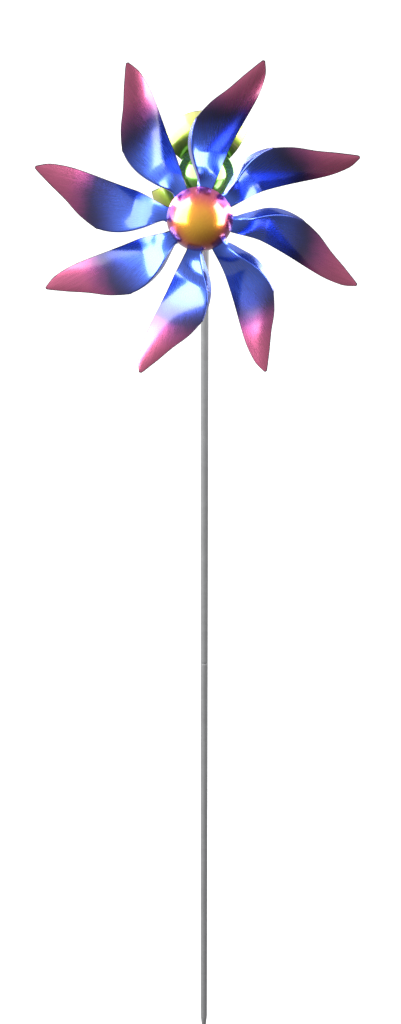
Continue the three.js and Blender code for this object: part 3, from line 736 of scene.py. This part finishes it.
# ---------------------------------------------------------------- studio
world = bpy.data.worlds.new("studio")
bpy.context.scene.world = world
world.use_nodes = True
sky = world.node_tree
direction = add_node(sky, "ShaderNodeTexCoord").outputs["Generated"]
lean = add_node(sky, "ShaderNodeVectorMath", {0: direction, 1: (-0.35, 0.1, 0.85)}, operation="DOT_PRODUCT")
glow = map_range(sky, lean.outputs["Value"], -1.0, 1.0)
GREYS = [(0.0, 0.12), (0.25, 0.42), (0.45, 0.62), (0.70, 0.90), (1.0, 1.0)]   # brightness, low to high
room = ramp(sky, glow, [(place, (grey,) * 3) for place, grey in GREYS], smooth=False)
sky.links.new(room, sky.nodes["Background"].inputs["Color"])

floor_mesh = bpy.data.meshes.new("floor")
floor_mesh.from_pydata([(-60, -60, 0), (60, -60, 0), (60, 60, 0), (-60, 60, 0)], [], [(0, 1, 2, 3)])
floor = bpy.data.objects.new("floor", floor_mesh)
bpy.context.scene.collection.objects.link(floor)
floor.location.z = -0.0005
floor_material, _, floor_shader, _ = new_material("floor", Roughness=0.9)
floor_shader.inputs["Base Color"].default_value = (0.9, 0.9, 0.9, 1)
floor_mesh.materials.append(floor_material)
floor.visible_glossy = False


def soft_light(name, place, target, size, radiance, objects, link):
    """A rectangular soft light with an even radiance, linked to some objects or to all but those."""
    lamp = bpy.data.lights.new(name, "AREA")
    lamp.shape = "RECTANGLE"
    lamp.size, lamp.size_y = size
    lamp.energy = radiance * math.pi * size[0] * size[1]
    holder = bpy.data.objects.new(name, lamp)
    bpy.context.scene.collection.objects.link(holder)
    holder.location = place
    holder.rotation_euler = (Vector(target) - Vector(place)).to_track_quat("-Z", "Y").to_euler()
    holder.visible_camera = False
    holder.visible_glossy = floor not in objects or link == "EXCLUDE"
    group = bpy.data.collections.new(name)
    for k, receiver in enumerate(objects):
        group.objects.link(receiver)
        group.collection_objects[k].light_linking.link_state = link
    holder.light_linking.receiver_collection = group


LEFT_BOX = FLOWER + Vector((-1.3, 0.05, 1.05))
RIGHT_BOX = FLOWER + Vector((1.3, 0.28, 0.36))
LOW_BOX = FLOWER + Vector((1.25, 0.1, -0.95))
HIGH_BOX = FLOWER + Vector((-0.3, -0.7, 1.4))
METALS = (pole_steel, cast_zinc, fastener_zinc, bush_plastic)
hardware = [piece for piece in bpy.data.objects if piece.type == "MESH" and piece.active_material in METALS]
left_target = LEFT_BOX + Vector((1, 0, 0))
right_target = RIGHT_BOX - Vector((1, 0, 0))
spared = [floor, *hardware]                  # the strong lights leave these out
soft_light("left_softbox", LEFT_BOX, left_target, (3.0, 2.7), 8.0, spared, "EXCLUDE")
soft_light("right_softbox", RIGHT_BOX, right_target, (2.05, 1.6), 8.5, spared, "EXCLUDE")
soft_light("low_softbox", LOW_BOX, FLOWER, (0.9, 0.9), 6.0, [*spared, hub_dome], "EXCLUDE")
soft_light("high_softbox", HIGH_BOX, FLOWER, (1.4, 0.6), 4.0, [*spared, hub_dome, *rear_leaves], "EXCLUDE")
soft_light("left_hardware_light", LEFT_BOX, left_target, (3.0, 2.7), 0.8, hardware, "INCLUDE")
soft_light("right_hardware_light", RIGHT_BOX, right_target, (2.05, 1.6), 0.8, hardware, "INCLUDE")
soft_light("floor_light", Vector((0, 4, 9)), Vector((0, 4, 0)), (40, 40), 1.0, [floor], "INCLUDE")

camera_data = bpy.data.cameras.new("camera")
camera_data.lens = CAMERA_LENS
camera_data.sensor_width = CAMERA_SENSOR
camera_data.clip_end = 300
camera = bpy.data.objects.new("camera", camera_data)
bpy.context.scene.collection.objects.link(camera)
camera.location = FLOWER + Vector(CAMERA_PLACE)
camera.rotation_euler = (math.radians(90 - CAMERA_TILT), 0, math.radians(CAMERA_TURN))
bpy.context.scene.camera = camera
bpy.context.scene.view_settings.view_transform = "Standard"
